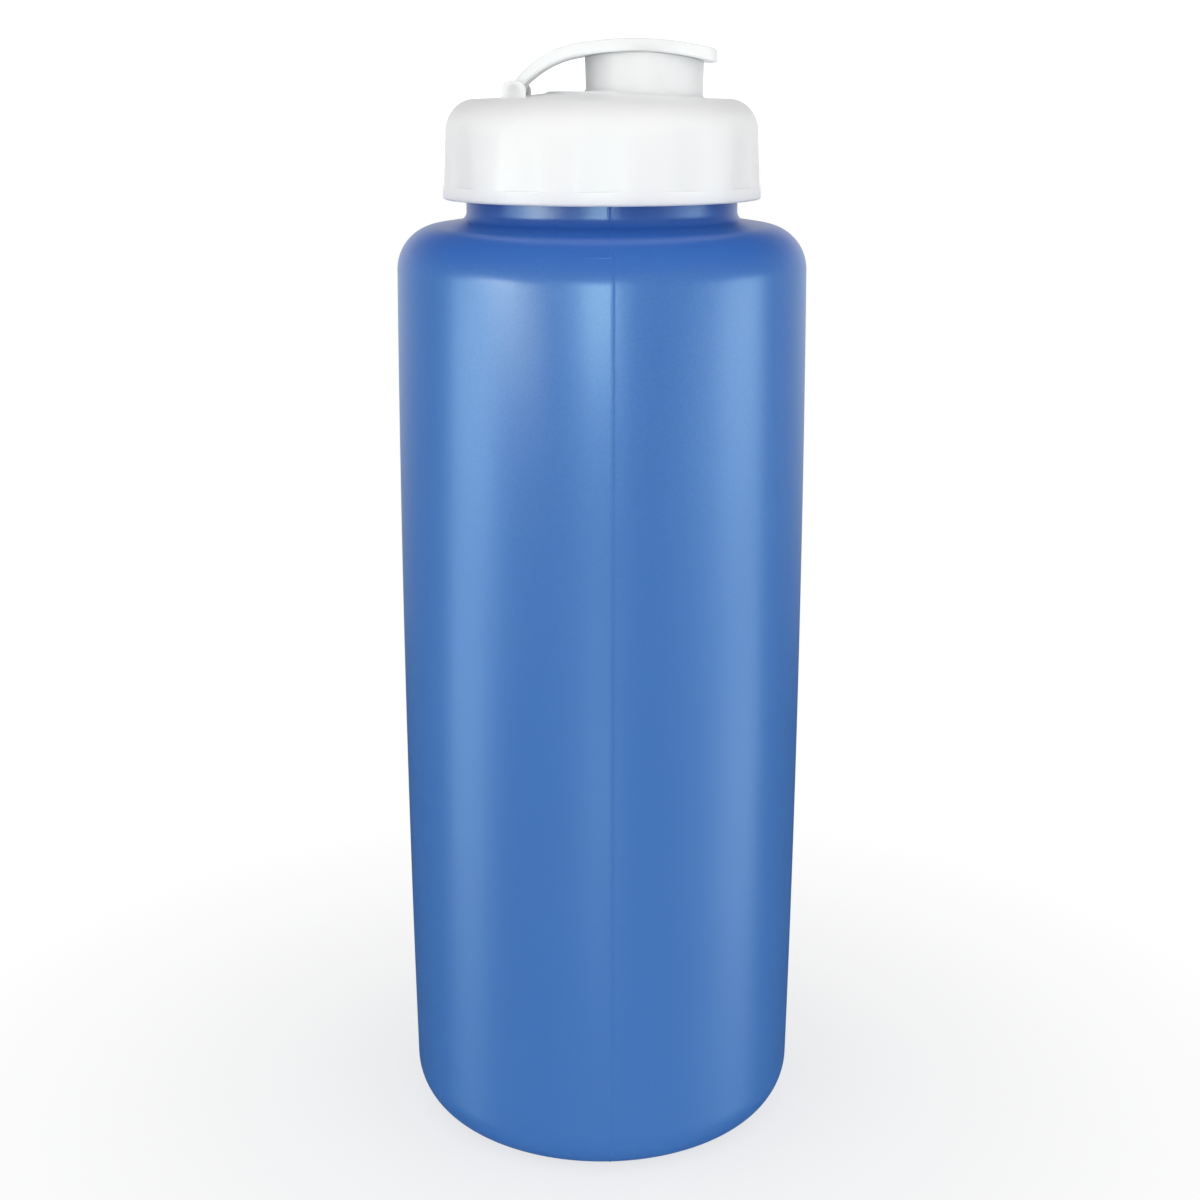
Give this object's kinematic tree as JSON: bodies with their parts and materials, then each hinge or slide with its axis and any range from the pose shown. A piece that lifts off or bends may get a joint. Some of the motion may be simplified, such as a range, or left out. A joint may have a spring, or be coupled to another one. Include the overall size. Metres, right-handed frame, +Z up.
{
  "type": "flip-top squeeze bottle",
  "caption": "Cylindrical squeeze bottle with a wide screw cap, scalloped grips round the skirt, an off-centre spout and an arched flip lid.",
  "frame": {"origin": "middle of the base, on the plane that the bottle stands on", "axes": "+Z up along the bottle's axis, +X towards the spout and the thumb tab, with the hinge at -X; the picture looks along +Y"},
  "size_m": [0.086, 0.086, 0.2325],
  "materials": {
    "bottle_blue": "frosted satin polyethylene",
    "cap_white": "smooth semi-gloss polypropylene",
    "lid_white": "smooth semi-gloss polypropylene"
  },
  "bodies": {
    "bottle_body": {"bottle": "bottle_blue"},
    "cap_body": {"cap": "cap_white"},
    "lid_body": {"lid": "lid_white"}
  },
  "joints": [
    {"name": "cap_lift", "type": "slide", "parent": "bottle_body", "child": "cap_body", "axis": [0, 0, 1], "range_m": [0, 0.03]},
    {"name": "lid_flip", "type": "hinge", "parent": "cap_body", "child": "lid_body", "pos_m": [-0.0173, 0, 0.2227], "axis": [0, -1, 0], "range_deg": [0, 135]}
  ]
}
